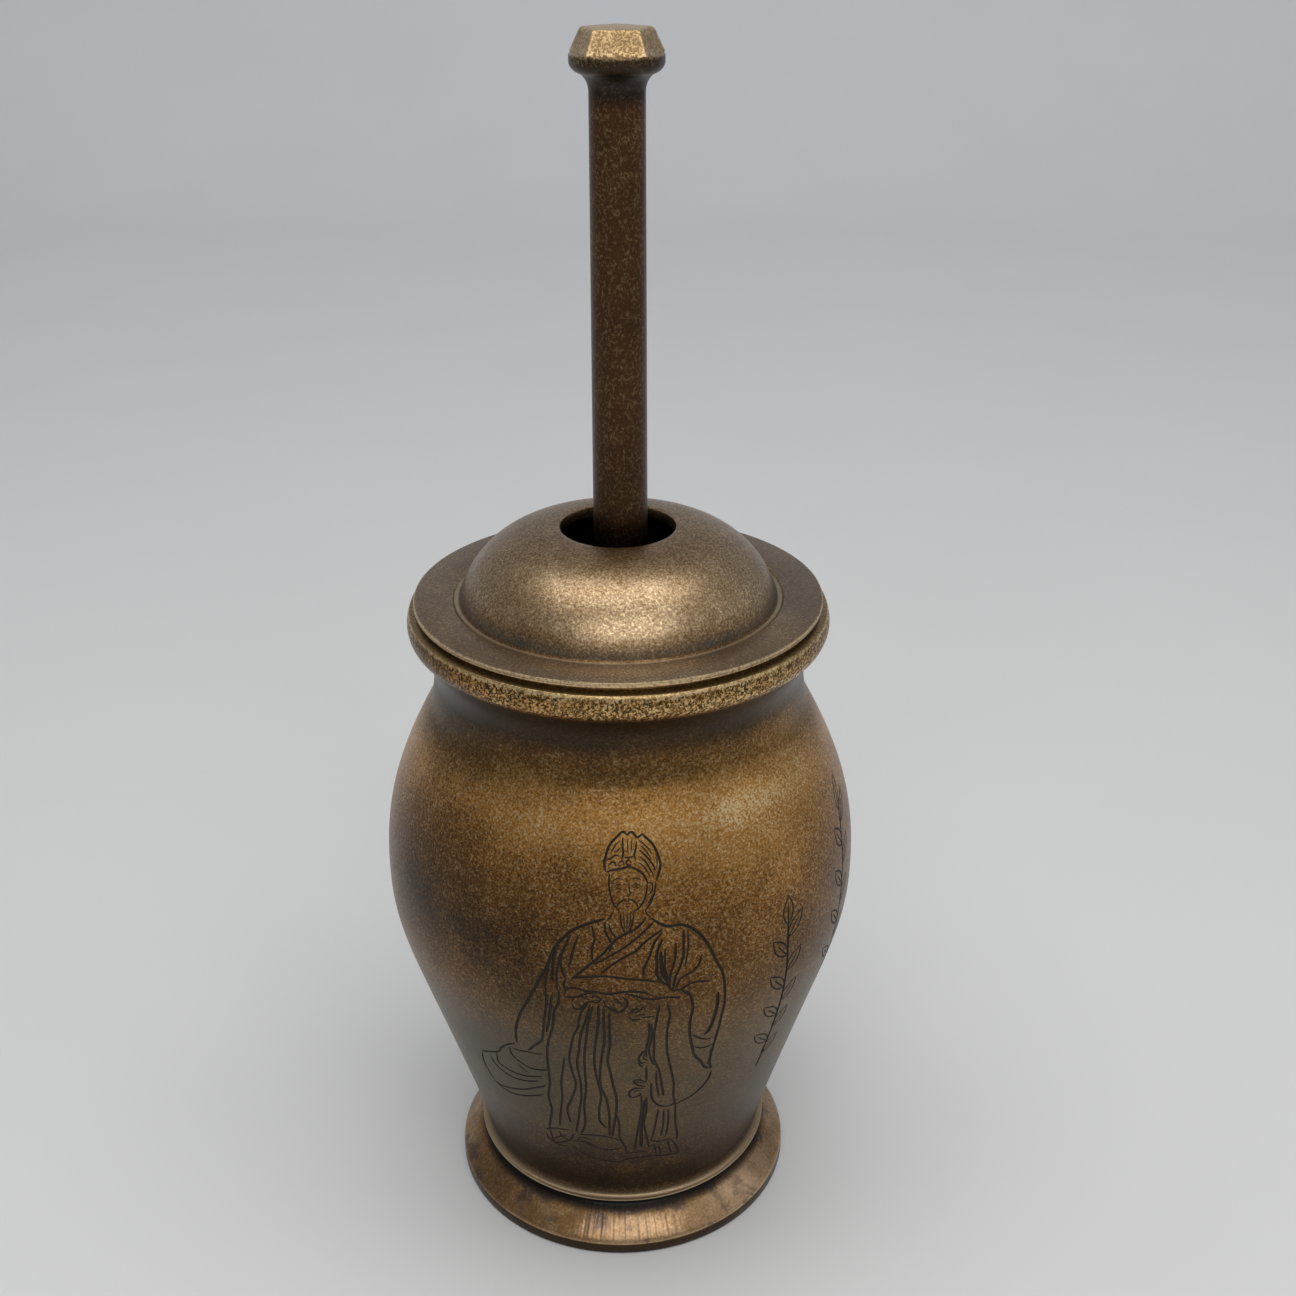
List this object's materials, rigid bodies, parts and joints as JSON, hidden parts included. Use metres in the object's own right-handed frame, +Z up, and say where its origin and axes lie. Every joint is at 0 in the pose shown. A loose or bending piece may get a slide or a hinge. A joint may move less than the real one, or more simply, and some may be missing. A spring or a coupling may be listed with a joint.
{
  "type": "medicine jar with lid and pestle",
  "caption": "Waisted brass jar for pounding medicine, on a flared foot, with a domed lid that is open in the middle for its upright pestle.",
  "frame": {"origin": "centre of the foot's underside, on the table", "axes": "+Z up along the axis that the jar is turned about, -Y towards the engraved front"},
  "size_m": [0.0968, 0.0968, 0.2421],
  "materials": {
    "bowl": "aged brass, golden brown with a fine dark speckle, greyer towards the bottom",
    "foot_ring": "aged brass, copper brown with dark stains and a worn bright rim",
    "lid": "aged brass, brown dome and a darker flat rim with a bright worn edge",
    "pestle": "very dark brown patina with fine golden streaks"
  },
  "bodies": {
    "jar": {"bowl": "bowl", "foot_ring": "foot_ring"},
    "lid": {"lid": "lid"},
    "pestle": {"pestle": "pestle"}
  },
  "joints": [
    {"name": "lid_lift", "type": "slide", "parent": "jar", "child": "lid", "axis": [0, 0, 1], "range_m": [0, 0.118]},
    {"name": "pestle_lift", "type": "slide", "parent": "jar", "child": "pestle", "axis": [0, 0, 1], "range_m": [0, 0.14]}
  ]
}
